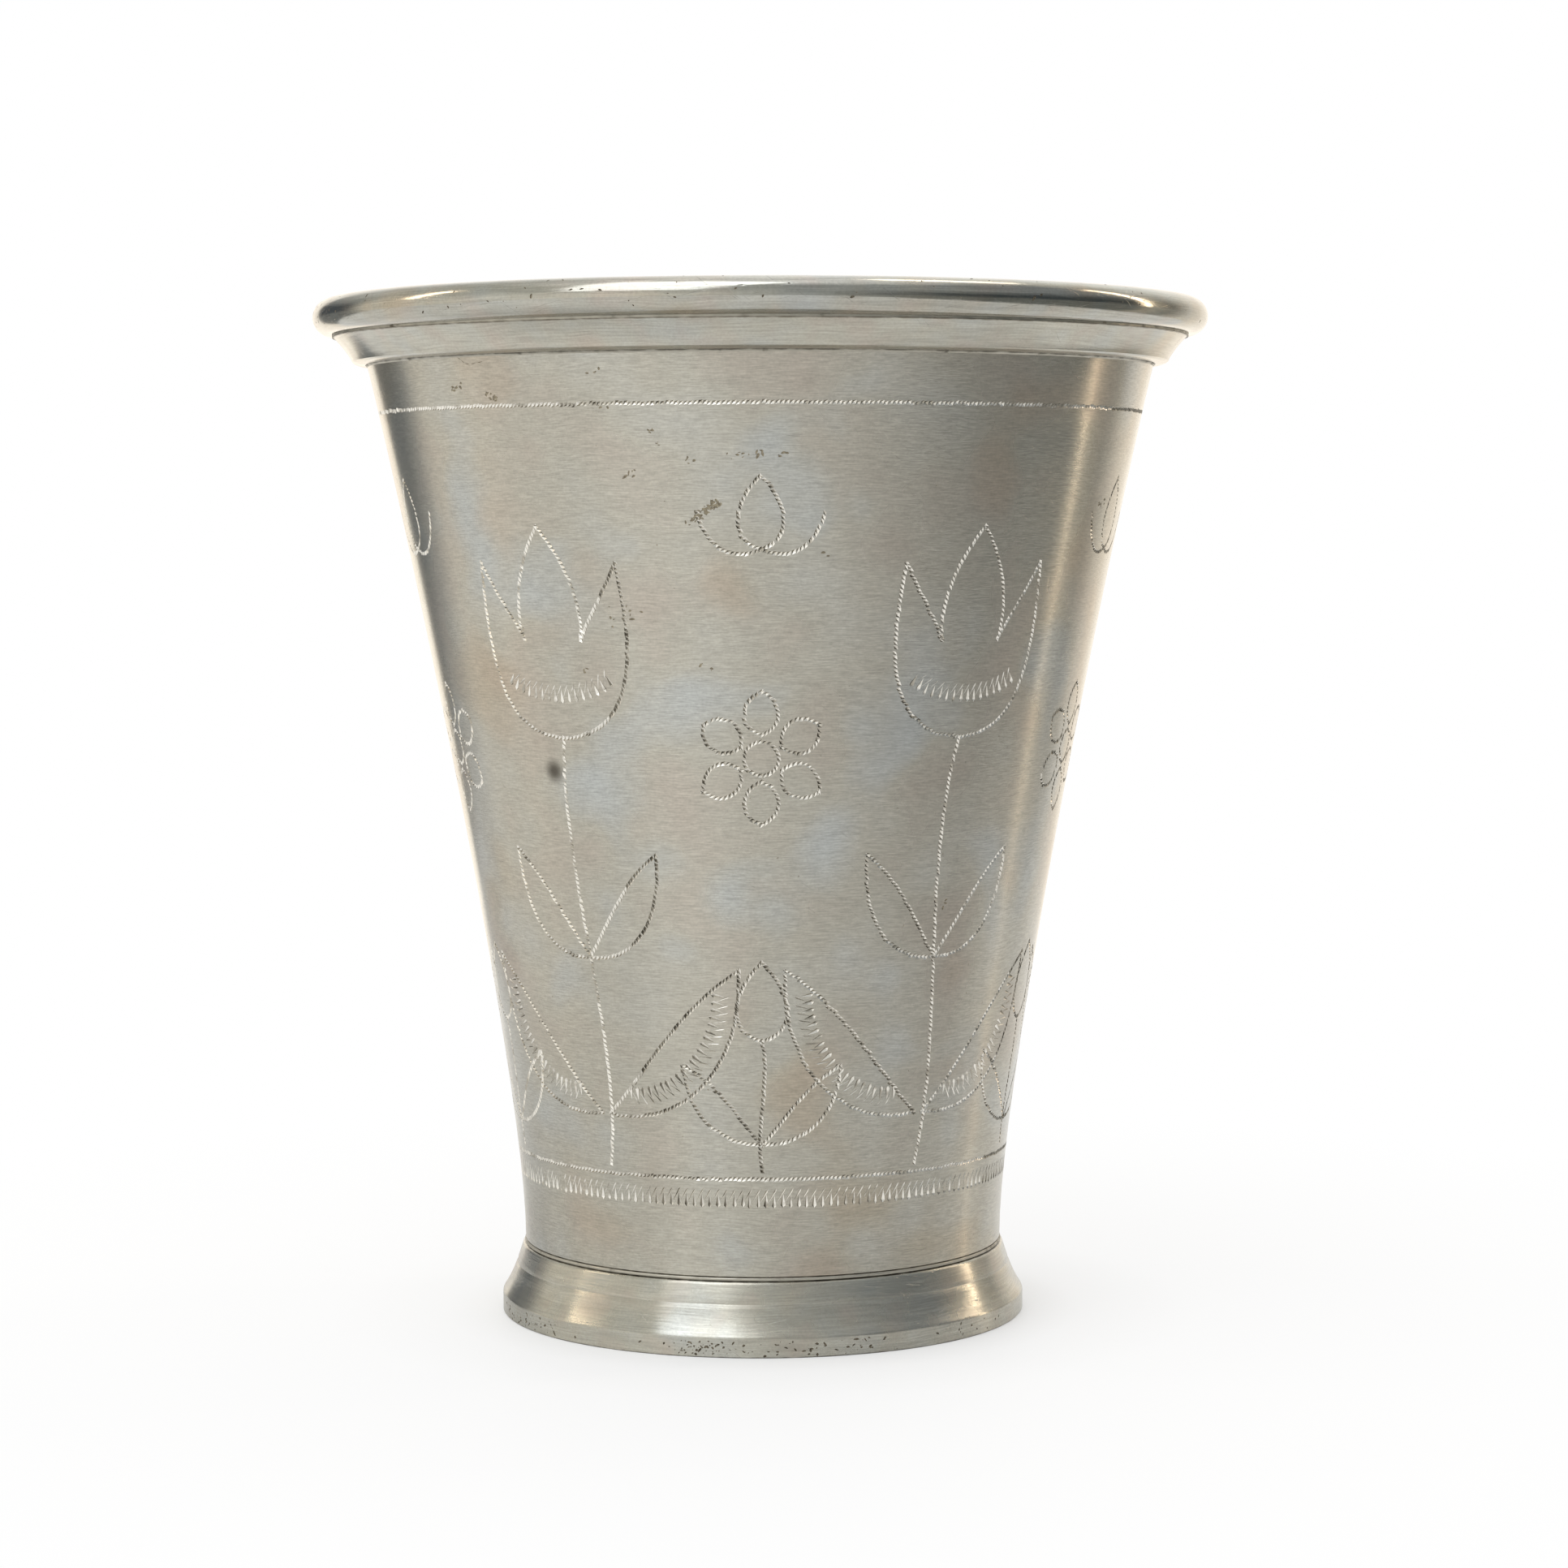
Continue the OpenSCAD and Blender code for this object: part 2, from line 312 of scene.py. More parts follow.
def cutPewter(name, look):
    # Pewter sliced by a sharp chisel, with a trace of tarnish that has settled in some of the cuts. With pale
    # colours it is the fresh cut, made paler still as a painted highlight, brighter and smoother than the
    # wall, so each facet flashes; with dark colours it is painted shade for the steep side of each cut
    material = newMaterial(name)
    tree = material.node_tree
    where = addNode(tree, "TexCoord").outputs["Object"]
    settle = addNode(tree, "TexNoise", {"Vector": where, "Scale": 1 / (look["settleSize"] * mm), "Detail": 2})
    tint = setRamp(addNode(tree, "ValToRGB", {"Fac": settle.outputs["Fac"]}), (
        (0.36, toLinear(look["tarnishAndShade"])), (0.5, toLinear(look["bright"]))))
    metal = addNode(tree, "BsdfPrincipled", {
        "Base Color": tint, "Metallic": 1.0, "Roughness": look["roughness"]})
    addNode(tree, "OutputMaterial", {"Surface": metal.outputs[0]})
    return material


def pitGrime(name, look):
    # Corrosion pits in old pewter: rough, with brown-grey dirt in them
    material = newMaterial(name)
    tree = material.node_tree
    where = addNode(tree, "TexCoord").outputs["Object"]
    crumbs = addNode(tree, "TexNoise", {"Vector": where, "Scale": 1 / (look["crumbSize"] * mm), "Detail": 3})
    tint = setRamp(addNode(tree, "ValToRGB", {"Fac": crumbs.outputs["Fac"]}), (
        (0.35, toLinear(look["dark"])), (0.7, toLinear(look["pale"]))))
    bump = addNode(tree, "Bump", {"Height": crumbs.outputs["Fac"], "Distance": look["crumbDepth"] * mm})
    dirt = addNode(tree, "BsdfPrincipled", {
        "Base Color": tint, "Metallic": look["metal"], "Roughness": look["roughness"],
        "Normal": bump.outputs[0]})
    addNode(tree, "OutputMaterial", {"Surface": dirt.outputs[0]})
    return material


# Cutting tools: each is modelled once, as a unit shape that is stamped over the surface

def chiselTip(name, belly, hand):
    # four-sided point, 1 deep, whose corners lie at 1 along and across where it meets the surface.
    # The shaded side is the narrow, steep one, which carries the painted shade; hand is 1 or -1 and says
    # which side that is
    mouthHigh = 0.6
    offCentre = 0.35
    tall = 1 + mouthHigh
    bpy.ops.object.select_all(action="DESELECT")
    bpy.ops.mesh.primitive_cone_add(
        vertices=4, radius1=0, radius2=tall, depth=tall, location=(0, 0, mouthHigh - tall / 2))
    tip = bpy.context.active_object
    tip.name = name
    bpy.ops.object.transform_apply(location=True, rotation=True, scale=True)
    selectVerts(tip, lambda co: abs(co.x) < 0.1)
    bpy.ops.transform.translate(value=(belly, 0, 0))
    bpy.ops.object.mode_set(mode="OBJECT")
    selectVerts(tip, lambda co: co.z < -0.9)
    bpy.ops.transform.translate(value=(0, -offCentre * hand, 0))
    bpy.ops.object.mode_set(mode="OBJECT")
    for face in tip.data.polygons:
        # the second metal, a painted shade, lines the steep side
        face.material_index = 1 if face.center.y * hand < -0.1 else 0
    return tip


def pitTip(name):
    bpy.ops.object.select_all(action="DESELECT")
    bpy.ops.mesh.primitive_ico_sphere_add(subdivisions=1, radius=1)
    tip = bpy.context.active_object
    tip.name = name
    bpy.ops.object.mode_set(mode="EDIT")
    bpy.ops.mesh.select_all(action="SELECT")
    bpy.ops.transform.vertex_random(offset=0.3, uniform=0.0, normal=0.0, seed=5)  # a ragged outline
    bpy.ops.object.mode_set(mode="OBJECT")
    return tip


def carve(piece, tip, cuts, *metals):
    # cuts are frames: middle, half length, half width and depth as vectors in metres.
    # Cuts that touch go into different passes, because one pass can't take overlapping tools.
    unit = np.array([vert.co for vert in tip.data.vertices])
    sides = [list(face.vertices) for face in tip.data.polygons]
    linings = [min(face.material_index, len(metals) - 1) for face in tip.data.polygons]
    room = 1.15  # tools are kept apart as if they were this much larger
    reach = room * np.abs(unit[:, :2]).max(axis=0)
    beads = np.linspace(-reach[0], reach[0], 5)
    tree = kdtree.KDTree(len(cuts) * len(beads))
    sizes = []
    for i, (middle, along, across, down) in enumerate(cuts):
        for bead in beads:
            tree.insert(middle + bead * along, i)
        halfStep = np.linalg.norm(along) * reach[0] / (len(beads) - 1)
        sizes.append(max(np.linalg.norm(across) * reach[1], halfStep))
    tree.balance()
    widest = max(sizes)
    passes = []
    for i, (middle, along, across, down) in enumerate(cuts):
        taken = set()
        for bead in beads:
            spot = middle + bead * along
            for _, j, gap in tree.find_range(spot, sizes[i] + widest):
                if j < i and gap < sizes[i] + sizes[j]:
                    taken.add(passes[j])
        free = 0
        while free in taken:
            free += 1
        passes.append(free)
    for number in range(max(passes) + 1):
        chosen = [cut for cut, mine in zip(cuts, passes) if mine == number]
        verts = [middle + unit @ np.array((along, across, down)) for middle, along, across, down in chosen]
        faces = [[v + n * len(unit) for v in side] for n in range(len(chosen)) for side in sides]
        mesh = bpy.data.meshes.new("tools")
        mesh.from_pydata(np.concatenate(verts).tolist(), [], faces)
        for metal in metals:
            mesh.materials.append(metal)
        mesh.polygons.foreach_set("material_index", linings * len(chosen))
        tools = bpy.data.objects.new("tools", mesh)
        bpy.context.scene.collection.objects.link(tools)
        useModifier(piece, "BOOLEAN", operation="DIFFERENCE", solver="MANIFOLD", object=tools,
                    material_mode="TRANSFER")
        bpy.data.objects.remove(tools)
    print("carved", len(cuts), "cuts in", max(passes) + 1, "passes into", piece.name)


# Body wall: turned from the CAD section, dented a little, then engraved

# Lengths are in mm. broadLines: times as long and as wide as the fine lines, and their seed;
# hairTilts: lean in radians and seed of each set of hairlines; rosyPatch and bloomPatch: the noise where a
# patch starts and is full, and how much of it shows; stainSize: radius of its core and of all of it
wallLook = {
    "grey": "#bab6aa", "warmGrey": "#b9af9b", "coolGrey": "#b8bab7", "rosyGrey": "#bcada1",
    "bloomGrey": "#babcb9", "grime": "#57524a",
    "radius": 37, "lineRun": 1.4, "lineStep": 0.13, "lineDepth": 0.008, "lineTone": 0.14,
    "broadLines": (8, 6, 210), "broadTone": 0.2, "broadDeep": 0.8, "grainSize": 0.3, "grainTone": 0.05,
    "drift": 0.8, "driftRun": 10,
    "hairRun": 5.5, "hairStep": 0.11, "hairTilts": ((0.12, 60), (-0.21, 150), (0.62, 330)),
    "hairFrom": 0.69, "hairFade": 0.07, "hairTone": 0.2, "hairDeep": 0.7,
    "patchSize": 20, "blushSize": 10, "rosyPatch": (0.5, 0.74, 0.4), "bloomPatch": (0.5, 0.26, 0.34),
    "roughness": 0.265, "roughSpread": 0.03, "anisotropic": 1.0,
    "grimeAt": ((8.68, 0.14), (112.3, 0.14)),
    "stainAt": (-23.2, -28.5, 66.2), "stainSize": (0.2, 1.9), "stainShare": 0.92,
}
# the inside is duller: it was never burnished, and drink has evened its patina
insideLook = dict(
    wallLook, grey="#b9b5aa", warmGrey="#b8b2a5", coolGrey="#b7b6b0", rosyGrey="#b9b2a8",
    bloomGrey="#b8b8b2", patchSize=40, lineTone=0.1, roughness=0.42, anisotropic=0.6, grimeAt=((8.3, 0.5),))
del insideLook["stainAt"]
# skin: what lies closer than this to the outline counts as the outside
wallSet = {"steps": 480, "innerBend": 1.6, "dentSize": 14, "dentHeight": 0.03, "skin": 0.5}
# pale cut: fresh metal made paler still as a painted highlight; dark cut: painted shade on the steep side of
# each cut, darker again where tarnish settled
brightCut = {"bright": "#f7f3ea", "tarnishAndShade": "#b5afa2", "settleSize": 1.5, "roughness": 0.36}
shadedCutLook = {"bright": "#8f897c", "tarnishAndShade": "#5c574d", "settleSize": 1.5, "roughness": 0.4}
pitLook = {"dark": "#7d7464", "pale": "#b0a68f", "crumbSize": 0.3, "crumbDepth": 0.04, "metal": 0.6,
           "roughness": 0.6}

wallMetal = turnedPewter("turnedPewterWall", wallLook)
brightMetal = cutPewter("chiselCutPewter", brightCut)
paintedShadeCutMetal = cutPewter("paintedShadeCutPewter", shadedCutLook)
pitDirt = pitGrime("pitGrime", pitLook)

wall = halfSection("body_wall", "bodyWall")
outline = np.array([vert.co for vert in wall.data.vertices]) / mm
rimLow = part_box("rim_band")[0].z / mm
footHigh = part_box("foot_solder")[1].z / mm
outer = []
for z in np.unique(outline[:, 2].round(3)):
    outer.append((z, outline[np.abs(outline[:, 2] - z) < 0.002, 0].max()))
outer = np.array([row for row in outer if footHigh + 0.05 < row[0] < rimLow + 0.05])


def wallRadius(z):
    return np.interp(z, outer[:, 0], outer[:, 1])


def wallFrame(turn, z):
    # point on the wall in mm, with its level, up and outward directions; turn 0 faces the camera
    radius = wallRadius(z)
    lean = math.atan(wallRadius(z + 0.5) - wallRadius(z - 0.5))
    sine, cosine = math.sin(turn), math.cos(turn)
    level = np.array((cosine, sine, 0))
    up = np.array((math.sin(lean) * sine, -math.sin(lean) * cosine, math.cos(lean)))
    return np.array((radius * sine, -radius * cosine, z)), level, up, np.cross(level, up)


# fewer points inside, where nothing is cut
selectVerts(wall, lambda co: co.x / mm < wallRadius(co.z / mm) - wallSet["skin"])
bpy.ops.mesh.dissolve_limited(angle_limit=math.radians(wallSet["innerBend"]))
bpy.ops.object.mode_set(mode="OBJECT")
spinRound(wall, wallSet["steps"])
unevenHand(wall, wallSet["dentSize"], wallSet["dentHeight"])
wall.data.materials.append(wallMetal)
wall.data.materials.append(turnedPewter("turnedPewterInside", insideLook))
for face in wall.data.polygons:
    reach = math.hypot(face.center.x, face.center.y) / mm
    outward = reach > wallRadius(face.center.z / mm) - wallSet["skin"]
    face.material_index = 0 if outward else 1
print("wall turned", len(wall.data.polygons), "faces")

# Wriggle-work: a flat chisel walked from corner to corner leaves a zigzag of small cuts.
# Sizes in mm; width and depth of a cut are given as a pair. The narrow chisel's cuts lie so close
# that they read as a twisted cord; the wide one leaves a comb of bold teeth with light strokes between.
# From changeFrom to changeTo, in degrees of turn, the chisel leaned left, and elsewhere right; this also sets
# which side of each cut gets the painted shade.
ropeTool = {
    "swing": 0.5, "step": 0.52, "lean": 0.56, "bold": (0.46, 0.14), "changeFrom": -26, "changeTo": 62}
combTool = {"tall": 1.6, "step": 0.92, "bold": (0.48, 0.14), "light": (0.17, 0.07)}
handShake = {"place": 0.08, "size": 0.25, "seed": 7}
handRandom = random.Random(handShake["seed"])


def bend(a, b, c, d):
    t = np.linspace(0, 1, 60)[:, None]
    s = 1 - t
    start = s ** 3 * np.array(a) + 3 * s * s * t * np.array(b)
    return start + 3 * s * t * t * np.array(c) + t ** 3 * np.array(d)


def ringPath(radius):
    t = np.linspace(0, 2 * math.pi, 90)[:, None]
    return radius * np.hstack((np.cos(t), np.sin(t)))


def turnPath(path, angle):
    return path @ np.array(((math.cos(angle), math.sin(angle)), (-math.sin(angle), math.cos(angle))))


def both(path):
    return [path, path * (-1, 1)]


def walk(path, step):
    # evenly spaced points along a path, and the direction across it
    run = np.concatenate(((0,), np.cumsum(np.linalg.norm(np.diff(path, axis=0), axis=1))))
    count = max(2, round(run[-1] / step) + 1)
    spots = np.linspace(0, run[-1], count)
    points = np.column_stack([np.interp(spots, run, path[:, k]) for k in (0, 1)])
    ahead = np.gradient(points, axis=0)
    ahead /= np.linalg.norm(ahead, axis=1)[:, None]
    return points, np.column_stack((-ahead[:, 1], ahead[:, 0]))


def rope(path):
    points, side = walk(path, ropeTool["step"])
    reach = side * ropeTool["swing"] / 2 + np.column_stack((side[:, 1], -side[:, 0])) * ropeTool["lean"] / 2
    return [(point - half, point + half, ropeTool, "bold") for point, half in zip(points, reach)]


def comb(path, hand):
    # hand is 1 or -1: the side of the path that the teeth hang on
    points, side = walk(path, combTool["step"])
    tips = points + side * combTool["tall"] * hand
    strokes = [(points[k], tips[k], combTool, "bold") for k in range(len(points))]
    strokes += [(tips[k], points[k + 1], combTool, "light") for k in range(len(points) - 1)]
    return strokes


def tulipSprig():
    ropes = [bend((0, 0), (3, 15), (-3, 33), (0, 49))]
    combs = []
    for path in (bend((0, 49), (9, 49.5), (10.8, 57), (9.6, 68.5)),
                 bend((9.6, 68.5), (7.2, 64.5), (5.4, 62.5), (4, 60)),
                 bend((4, 60), (5, 64.5), (3, 69), (0, 72.5)),
                 bend((0.6, 6), (10, 4.5), (17.4, 12), (18, 23)),
                 bend((0.6, 6), (6, 11), (10.5, 18.5), (18, 23)),
                 bend((0, 24), (6, 23.6), (10, 28.5), (10, 36)),
                 bend((0, 24), (3, 28), (6, 33.4), (10, 36))):
        ropes += both(path)
    combs.append((bend((-6.4, 56.4), (-3, 54.2), (3, 54.2), (6.4, 56.4)), -1))
    shadow = bend((3.6, 7.4), (9.6, 7), (15.4, 12.6), (16.4, 20))
    combs += [(shadow, 1), (shadow * (-1, 1), -1)]
    return ropes, combs


def rosette():
    ropes = [ringPath(1.9)]
    for k in range(6):
        for path in both(bend((0, 2.6), (2.6, 3.6), (2.4, 6.4), (0, 7.4))):
            ropes.append(turnPath(path, k * math.pi / 3))
    return ropes, []


def sprout():
    ropes = [bend((0, 0), (-1, 4), (1, 10), (0, 15))]
    for path in (bend((0, 15), (4, 16), (3.6, 20.5), (0, 24)), bend((0, 3), (5, 3), (8.6, 6.4), (9, 12)),
                 bend((0, 3), (3, 6.4), (5, 10), (9, 12))):
        ropes += both(path)
    return ropes, []


def bud():
    ropes = []
    for path in (bend((0, 0), (3.4, 1), (3.2, 5), (0, 8)), bend((0, 0), (3.5, -1.5), (6, 0.5), (7, 4))):
        ropes += both(path)
    return ropes, []


def ringRound(z):
    half = math.pi * wallRadius(z)
    return np.array(((-half, 0), (half, 0)))


# heights of the borders and motifs, and how often the motifs repeat round the wall
design = {"lowLine": 20.0, "combLine": 18.6, "topLine": 106.8, "sprigs": 21.0, "rosettes": 68, "buds": 91,
          "repeats": 5}
apart = 2 * math.pi / design["repeats"]
motifs = [(0, design["lowLine"], ([ringRound(design["lowLine"])], [])),
          (0, design["combLine"], ([], [(ringRound(design["combLine"]), -1)])),
          (0, design["topLine"], ([ringRound(design["topLine"])], []))]
for k in range(design["repeats"]):
    motifs += [((k + 0.5) * apart, design["sprigs"], tulipSprig()),
               (k * apart, design["rosettes"], rosette()),
               (k * apart, design["sprigs"], sprout()),
               (k * apart, design["buds"], bud())]

cuts = {("rope", "bold", 1): [], ("comb", "light", 1): [], ("comb", "light", -1): [],
        ("comb", "bold", 1): [], ("comb", "bold", -1): []}
for turn, height, (ropes, combs) in motifs:
    strokes = [("rope", stroke) for path in ropes for stroke in rope(path)]
    strokes += [("comb", stroke) for path, hand in combs for stroke in comb(path, hand)]
    for work, (start, end, tool, kind) in strokes:
        width, depth = tool[kind]
        shake = handRandom.gauss(0, handShake["place"] / 2)
        grow = 1 + handRandom.uniform(-1, 1) * handShake["size"]
        middle = (start + end) / 2 + shake
        half = (end - start) / 2
        z = height + middle[1]
        place = turn + middle[0] / wallRadius(z)
        point, level, up, out = wallFrame(place, z)
        along = half[0] * level + half[1] * up
        side = math.degrees(math.atan2(math.sin(place), math.cos(place)))
        leanedLeft = ropeTool["changeFrom"] < side < ropeTool["changeTo"]
        hand = -1 if (half[1] > 0) == leanedLeft else 1
        if work == "rope":
            along = along * hand
            hand = 1
        across = np.cross(out, along / np.linalg.norm(along))
        cuts[work, kind, hand].append(
            (point * mm, along * mm, across * (width / 2 * grow * mm), out * (depth * grow * mm)))
tips = {("rope", 1): chiselTip("ropeChisel", 0.0, 1), ("comb", 1): chiselTip("combChisel", 1.0, 1),
        ("comb", -1): chiselTip("combChiselTurned", 1.0, -1)}
for (work, kind, hand), frames in cuts.items():
    carve(wall, tips[work, hand], frames, brightMetal, paintedShadeCutMetal)

# Corrosion pits in clusters: turn in degrees, height, length and width of the cluster, tilt, count
pitClusters = (
    (-47.6, 109.0, 1.0, 0.3, 10, 12), (-40.7, 107.7, 0.9, 0.4, -20, 14), (-23.0, 106.6, 1.3, 0.2, -4, 4),
    (-22.8, 110.3, 1.3, 0.2, 12, 4), (-15.6, 103.9, 0.6, 0.3, 30, 4), (-14.4, 102.2, 0.5, 0.3, -30, 3),
    (-10.0, 100.6, 0.5, 0.4, -40, 4), (-3.6, 101.2, 1.0, 0.4, 8, 6), (-0.8, 101.3, 0.8, 0.4, 0, 6),
    (2.7, 101.2, 0.9, 0.3, 14, 5), (-7.9, 95.4, 1.5, 0.45, 32, 60), (-9.8, 94.2, 1.1, 0.3, 24, 9),
    (-19.1, 99.1, 0.8, 0.3, 20, 5), (9.6, 90.5, 0.5, 0.4, 0, 4), (37.1, 51.0, 0.5, 0.2, 70, 3),
    (-22.3, 84.1, 3.0, 1.5, 20, 10), (-30.0, 77.6, 0.6, 0.3, 20, 4), (-8.8, 78.0, 0.9, 0.4, -30, 5),
    (66.0, 96.0, 1.2, 0.5, 15, 7), (102.0, 70.0, 1.5, 0.7, -25, 9), (150.0, 102.0, 1.8, 0.6, 10, 12),
    (-110.0, 58.0, 1.4, 0.5, 30, 7), (-150.0, 90.0, 1.6, 0.6, -15, 9),
)
# the turn of a pit is given as a mean and a spread, in radians; its width and depth are shares of its size
pitSet = {"seed": 21, "size": (0.07, 0.22), "specks": 130, "speckSize": (0.03, 0.08), "speckHigh": (12, 111),
          "turn": (0.3, 0.8), "width": (0.6, 1.0), "stretch": (1.0, 2.2), "depth": (0.25, 0.45)}
pitRandom = random.Random(pitSet["seed"])


def pitFrame(point, level, up, out, size):
    # a flattened, drawn-out blob, sunk so that its lower half cuts the surface
    angle = pitRandom.gauss(*pitSet["turn"])
    along = (math.cos(angle) * level + math.sin(angle) * up) * size
    across = np.cross(out, along) * pitRandom.uniform(*pitSet["width"])
    stretch = pitRandom.uniform(*pitSet["stretch"])
    down = out * (size * pitRandom.uniform(*pitSet["depth"]) * mm)
    return point * mm, along * (stretch * mm), across * mm, down


pits = []
for turn, height, long, wide, tilt, count in pitClusters:
    for k in range(count):
        run = pitRandom.uniform(-1, 1) * long
        off = pitRandom.uniform(-1, 1) * wide
        slope = math.radians(tilt)
        z = height + run * math.sin(slope) + off * math.cos(slope)
        shift = run * math.cos(slope) - off * math.sin(slope)
        spot = wallFrame(math.radians(turn) + shift / wallRadius(z), z)
        pits.append(pitFrame(*spot, pitRandom.uniform(*pitSet["size"])))
for k in range(pitSet["specks"]):
    spot = wallFrame(pitRandom.uniform(-math.pi, math.pi), pitRandom.uniform(*pitSet["speckHigh"]))
    pits.append(pitFrame(*spot, pitRandom.uniform(*pitSet["speckSize"])))
pitTool = pitTip("pitTool")
carve(wall, pitTool, pits, pitDirt)

# a hairline crack that leaves the joint under the band: turn in degrees and height of its points
crackPoints = ((-46.3, 112.25), (-45.5, 111.9), (-44.9, 111.5), (-43.8, 111.4), (-42.6, 111.5),
               (-41.2, 111.65))
crackWidth, crackDepth = 0.09, 0.06
crackCuts = []
for start, end in zip(crackPoints, crackPoints[1:]):
    point, level, up, out = wallFrame(math.radians((start[0] + end[0]) / 2), (start[1] + end[1]) / 2)
    run = math.radians(end[0] - start[0]) * wallRadius(start[1])
    along = (run * level + (end[1] - start[1]) * up) / 2
    across = np.cross(out, along / np.linalg.norm(along))
    crackCuts.append((point * mm, along * mm, across * (crackWidth / 2 * mm), out * (crackDepth * mm)))
carve(wall, tips["rope", 1], crackCuts, pitDirt)
finishPiece(wall, "body_wall")
triangles = sum(len(face.vertices) - 2 for face in wall.data.polygons)
print("wall triangles", triangles)


# Foot ring: the CAD section with two scribed lines, spun, dented, pitted round the base

footLook = dict(
    wallLook, grey="#bab7ab", warmGrey="#bbb4a4", coolGrey="#b6b6af", radius=31, lineRun=5, lineStep=0.16,
    lineTone=0.12, lineDepth=0.014, patchSize=12, blushSize=4, roughness=0.27, anisotropic=0.95,
    grimeAt=((8.16, 0.12), (0.0, 0.3)))
del footLook["stainAt"]
footSet = {"steps": 420, "lines": (6.7, 5.75), "lineHalf": 0.09, "lineDeep": 0.07,
           "dentSize": 7, "dentHeight": 0.03, "pitSize": (0.05, 0.19), "pitHigh": (0.25, 1.9)}

foot = halfSection("foot_ring", "footRing")
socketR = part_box("foot_solder")[1].x - 0.5 * mm  # everything farther out is the outside of the foot
for height in footSet["lines"]:
    for shift in (-footSet["lineHalf"], 0, footSet["lineHalf"]):
        pickOnly(foot)
        bpy.ops.object.mode_set(mode="EDIT")
        bpy.ops.mesh.select_all(action="SELECT")
        bpy.ops.mesh.bisect(plane_co=(0, 0, (height + shift) * mm), plane_no=(0, 0, 1))
        bpy.ops.object.mode_set(mode="OBJECT")
    selectVerts(foot, lambda co: abs(co.z / mm - height) < 0.01 and co.x > socketR)
    bpy.ops.transform.translate(value=(-footSet["lineDeep"] * mm, 0, 0))
    bpy.ops.object.mode_set(mode="OBJECT")
spinRound(foot, footSet["steps"])
unevenHand(foot, footSet["dentSize"], footSet["dentHeight"])
foot.data.materials.append(turnedPewter("turnedPewterFoot", footLook))

# pits gather in a few stretches of the base band: turn in degrees, spread, count
footPits = (
    (-66, 12, 40), (-50, 6, 10), (-13, 7, 44), (-2, 16, 30), (16, 12, 26), (48, 10, 14), (110, 20, 30),
    (180, 30, 40), (-120, 20, 26),
)
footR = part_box("foot_ring")[1].x / mm
pits = []
for turn, spread, count in footPits:
    for k in range(count):
        angle = math.radians(pitRandom.gauss(turn, spread / 2))
        sine, cosine = math.sin(angle), math.cos(angle)
        point = np.array((footR * sine, -footR * cosine, pitRandom.uniform(*footSet["pitHigh"])))
        level, up, out = np.array(((cosine, sine, 0), (0, 0, 1), (sine, -cosine, 0)))
        pits.append(pitFrame(point, level, up, out, pitRandom.uniform(*footSet["pitSize"])))
blackDirt = pitGrime("pitGrimeFoot", dict(pitLook, dark="#4e463a", pale="#8a806d"))
carve(foot, pitTool, pits, blackDirt)
finishPiece(foot, "foot_ring")

# Rim band and lip

rimLook = dict(
    footLook, radius=48, patchSize=11, roughness=0.23, anisotropic=0.8, lineDepth=0.01, grime="#787164",
    grimeAt=((115.62, 0.14),))
# the band's lower corner is worn round: radii of the points that are let in, power of the curve
rimSet = {"steps": 420, "wearAt": (46.8, 47.1, 47.4, 47.65, 47.85, 48.0, 48.1), "wearFrom": 46.53,
          "wearTo": 48.3, "wearHigh": 113.12, "wearPower": 2.4, "dentSize": 9, "dentHeight": 0.03}
rim = halfSection("rim_band", "rimBand")
for radius in rimSet["wearAt"]:
    pickOnly(rim)
    bpy.ops.object.mode_set(mode="EDIT")
    bpy.ops.mesh.select_all(action="SELECT")
    bpy.ops.mesh.bisect(plane_co=(radius * mm, 0, 0), plane_no=(1, 0, 0))
    bpy.ops.object.mode_set(mode="OBJECT")
for vert in rim.data.vertices:
    run = (vert.co.x / mm - rimSet["wearFrom"]) / (rimSet["wearTo"] - rimSet["wearFrom"])
    if 0 < run < 1 and vert.co.z / mm < rimSet["wearHigh"] - 0.01:
        drop = (1 - run ** rimSet["wearPower"]) ** (1 / rimSet["wearPower"])
        vert.co.z = (rimSet["wearHigh"] - (rimSet["wearHigh"] - rimLow) * drop) * mm
spinRound(rim, rimSet["steps"])
unevenHand(rim, rimSet["dentSize"], rimSet["dentHeight"])
rim.data.materials.append(turnedPewter("turnedPewterRim", rimLook))
finishPiece(rim, "rim_band")

lipLook = dict(
    footLook, grey="#b2b0a6", warmGrey="#b4ad9e", coolGrey="#adaeaa", radius=52, lineStep=0.14, patchSize=9,
    lineDepth=0.005, hairFrom=0.66, hairTone=0.3, roughness=0.14, anisotropic=0.3, grimeAt=())
# the lean of a pit is its place round the bead: 0 faces outwards, 90 upwards
lipSet = {"steps": 420, "sides": 48, "dentSize": 6, "dentHeight": 0.03, "pitSize": (0.06, 0.2),
          "pitLean": (-35, 80)}
lipLow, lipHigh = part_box("lip_bead")
lipRadius = (lipHigh.z - lipLow.z) / 2
bpy.ops.object.select_all(action="DESELECT")
bpy.ops.mesh.primitive_torus_add(
    major_radius=lipHigh.x - lipRadius, minor_radius=lipRadius,
    major_segments=lipSet["steps"], minor_segments=lipSet["sides"], location=(0, 0, lipHigh.z - lipRadius))
lip = bpy.context.active_object
lip.name = "lipBead"
bpy.ops.object.transform_apply(location=True, rotation=True, scale=True)
unevenHand(lip, lipSet["dentSize"], lipSet["dentHeight"])
lip.data.materials.append(turnedPewter("turnedPewterLip", lipLook))

